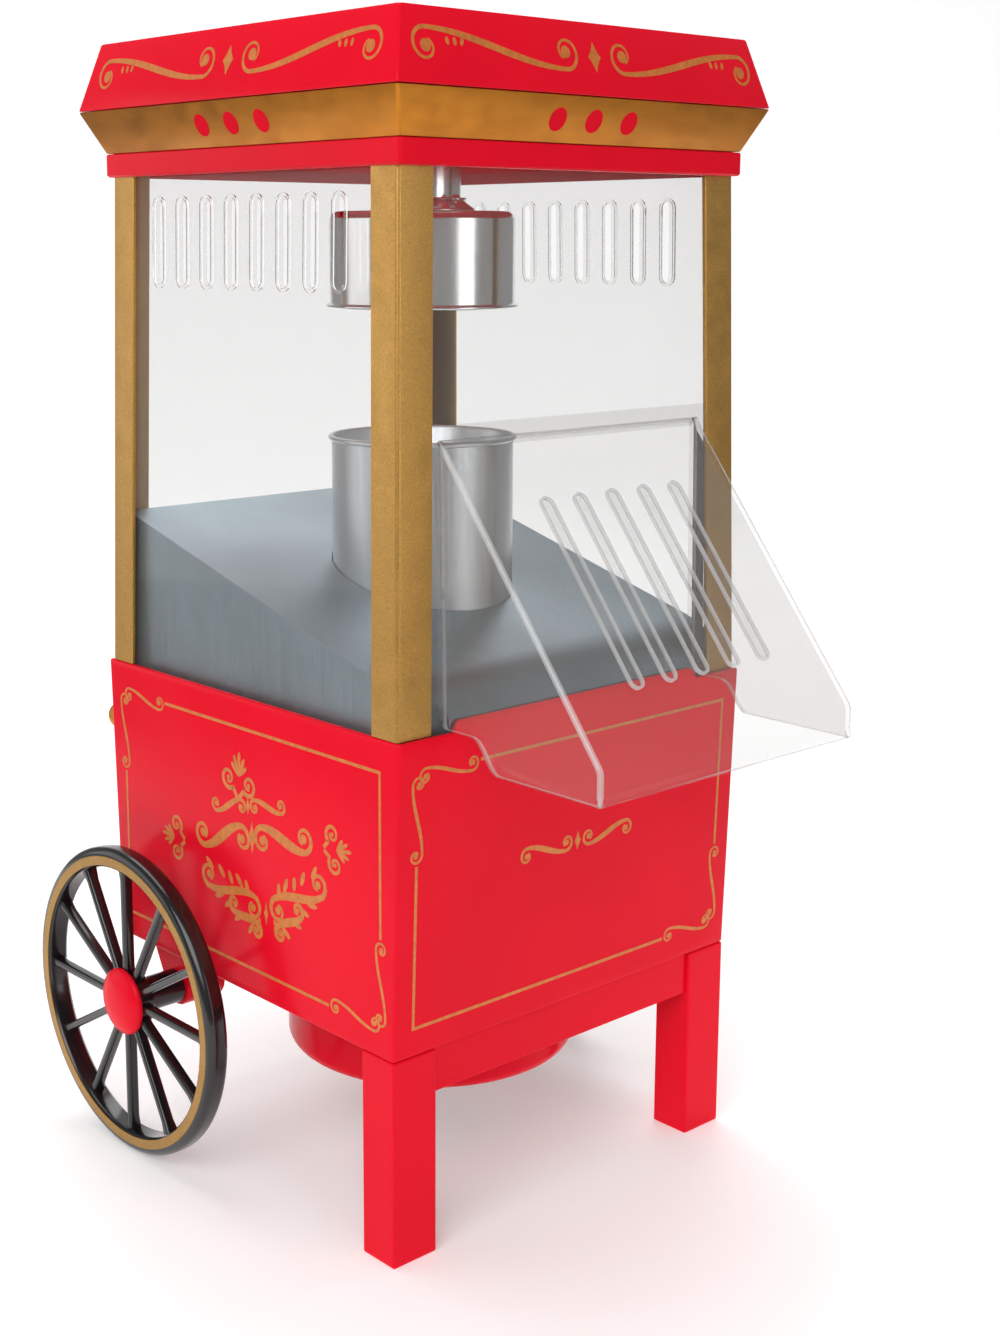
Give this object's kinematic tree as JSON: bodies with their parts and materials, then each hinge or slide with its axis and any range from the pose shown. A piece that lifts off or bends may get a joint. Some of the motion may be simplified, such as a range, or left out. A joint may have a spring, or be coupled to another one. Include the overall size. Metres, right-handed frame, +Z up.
{
  "type": "popcorn maker",
  "caption": "Tabletop hot-air popcorn maker styled as a street cart: red cabinet, glazed upper box, kettle, chute hood, spoked wheels.",
  "frame": {"origin": "on the table, under the middle of the whole footprint from the chute's lip to the back of the wheels", "axes": "+Z up, the chute points to -Y, +X is the machine's right seen from the front"},
  "size_m": [0.244, 0.3034, 0.4729],
  "materials": {
    "red_gloss_plastic": "gloss",
    "gold_paint": "satin metallic",
    "gold_plastic": "satin",
    "clear_plastic": "clear polished",
    "black_gloss_plastic": "gloss",
    "dark_plastic": "matte",
    "chrome": "polished",
    "ramp_steel": "brushed",
    "zinc_steel": "satin",
    "aluminium_sheet": "satin",
    "mica_board": "matte",
    "black_steel": "gloss"
  },
  "bodies": {
    "base": {"cabinet_shell": "red_gloss_plastic", "cabinet_floor": "dark_plastic", "blower_drum": "red_gloss_plastic", "intake_grille": "dark_plastic", "front_apron": "red_gloss_plastic", "axle": "black_steel", "handle_bar": "gold_plastic", "motor_bracket": "zinc_steel", "motor": "zinc_steel", "air_guide": "dark_plastic", "heater_housing": "zinc_steel", "heater_bobbin": "mica_board", "heater_coil": "zinc_steel", "thermostat": "zinc_steel", "thermal_fuse": "zinc_steel", "popping_chamber": "aluminium_sheet", "popcorn_ramp": "ramp_steel", "switch_bezel": "dark_plastic", "cord_gland": "dark_plastic", "front_leg_left": "red_gloss_plastic", "axle_bracket_left": "red_gloss_plastic", "handle_post_left": "gold_plastic", "floor_screw_front_left": "zinc_steel", "floor_screw_rear_left": "zinc_steel", "front_leg_right": "red_gloss_plastic", "axle_bracket_right": "red_gloss_plastic", "handle_post_right": "gold_plastic", "floor_screw_front_right": "zinc_steel", "floor_screw_rear_right": "zinc_steel"},
    "housing": {"window_housing": "clear_plastic", "chute": "clear_plastic", "corner_post_front_left": "gold_paint", "corner_post_front_right": "gold_paint", "corner_post_rear_left": "gold_paint", "corner_post_rear_right": "gold_paint"},
    "canopy_top": {"canopy": "red_gloss_plastic", "cornice_band": "gold_plastic", "kernel_funnel": "chrome", "tube_collar": "chrome", "collar_stud": "chrome", "kettle": "chrome"},
    "cap": {"measuring_cap": "red_gloss_plastic"},
    "left_wheel": {"wheel_left": "black_gloss_plastic", "wheel_ring_left": "gold_paint", "hub_cap_left": "red_gloss_plastic"},
    "right_wheel": {"wheel_right": "black_gloss_plastic", "wheel_ring_right": "gold_paint", "hub_cap_right": "red_gloss_plastic"},
    "fan": {"fan_impeller": "dark_plastic", "fan_shaft": "zinc_steel"},
    "rocker": {"switch_rocker": "black_gloss_plastic"}
  },
  "joints": [
    {"name": "housing_lift", "type": "slide", "parent": "base", "child": "housing", "axis": [0, 0, 1], "range_m": [0, 0.115]},
    {"name": "canopy_lift", "type": "slide", "parent": "housing", "child": "canopy_top", "axis": [0, 0, 1], "range_m": [0, 0.056]},
    {"name": "cap_lift", "type": "slide", "parent": "canopy_top", "child": "cap", "axis": [0, 0, 1], "range_m": [0, 0.03]},
    {"name": "left_wheel_spin", "type": "hinge", "parent": "base", "child": "left_wheel", "pos_m": [-0.114, 0.0841, 0.0676], "axis": [1, 0, 0], "continuous": true},
    {"name": "right_wheel_spin", "type": "hinge", "parent": "base", "child": "right_wheel", "pos_m": [0.114, 0.0841, 0.0676], "axis": [1, 0, 0], "continuous": true},
    {"name": "fan_spin", "type": "hinge", "parent": "base", "child": "fan", "pos_m": [0, 0.0217, 0.105], "axis": [0, 0, 1], "continuous": true},
    {"name": "switch_rock", "type": "hinge", "parent": "base", "child": "rocker", "pos_m": [-0.052, 0.11795, 0.125], "axis": [-1, 0, 0], "range_deg": [0, 16]}
  ]
}
